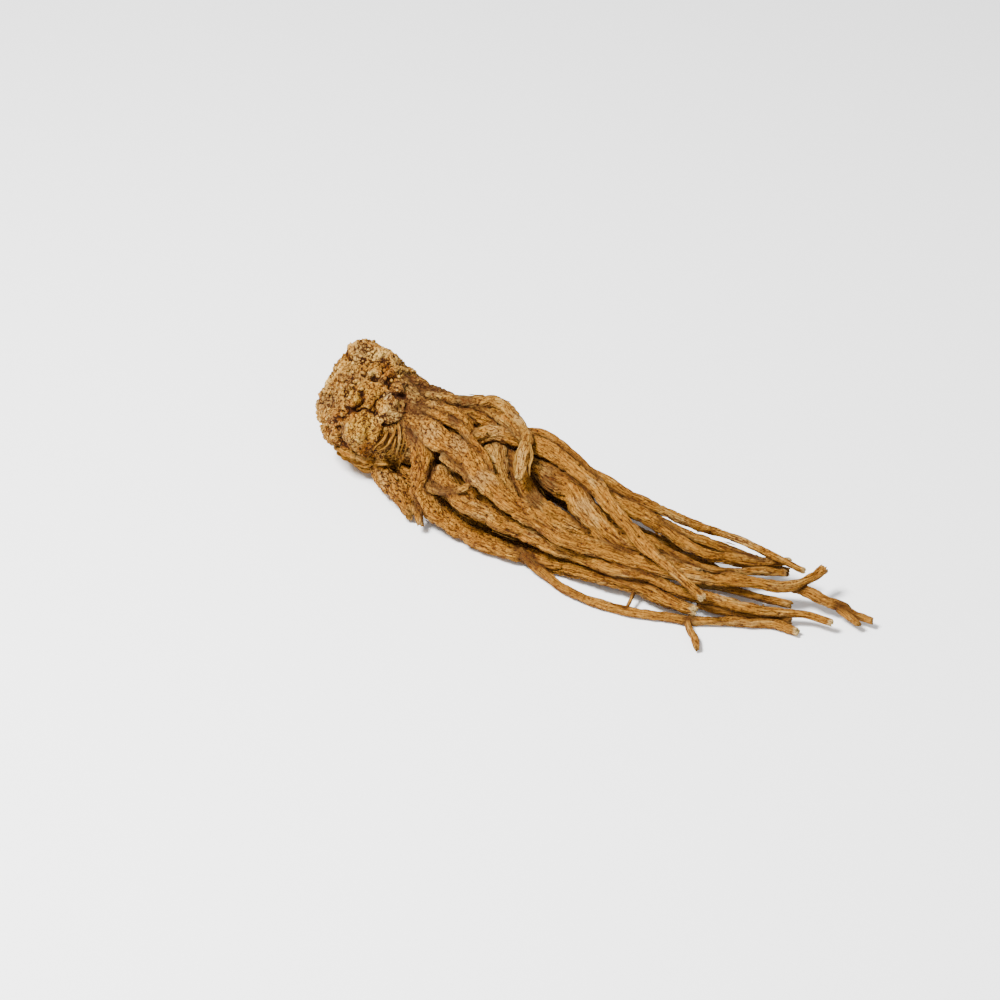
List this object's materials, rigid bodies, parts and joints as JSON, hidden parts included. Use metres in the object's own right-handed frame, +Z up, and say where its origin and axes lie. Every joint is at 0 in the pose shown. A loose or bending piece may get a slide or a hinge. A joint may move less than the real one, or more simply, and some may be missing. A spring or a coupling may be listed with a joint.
{
  "type": "dried angelica root",
  "caption": "Dried angelica root lying on its side: a knobbly crown, a short neck and a bundle of crossing, tapering rootlets.",
  "frame": {"origin": "on the surface that the root lies on, under the middle of its box", "axes": "+X along the root, from the crown to the rootlets' tips; +Z up from the surface"},
  "size_m": [0.218, 0.0597, 0.0425],
  "materials": {
    "dried_root": "matt golden-brown wrinkled bark with a crumbly, paler crown"
  },
  "bodies": {
    "root": {"angelica_root": "dried_root"}
  },
  "joints": []
}
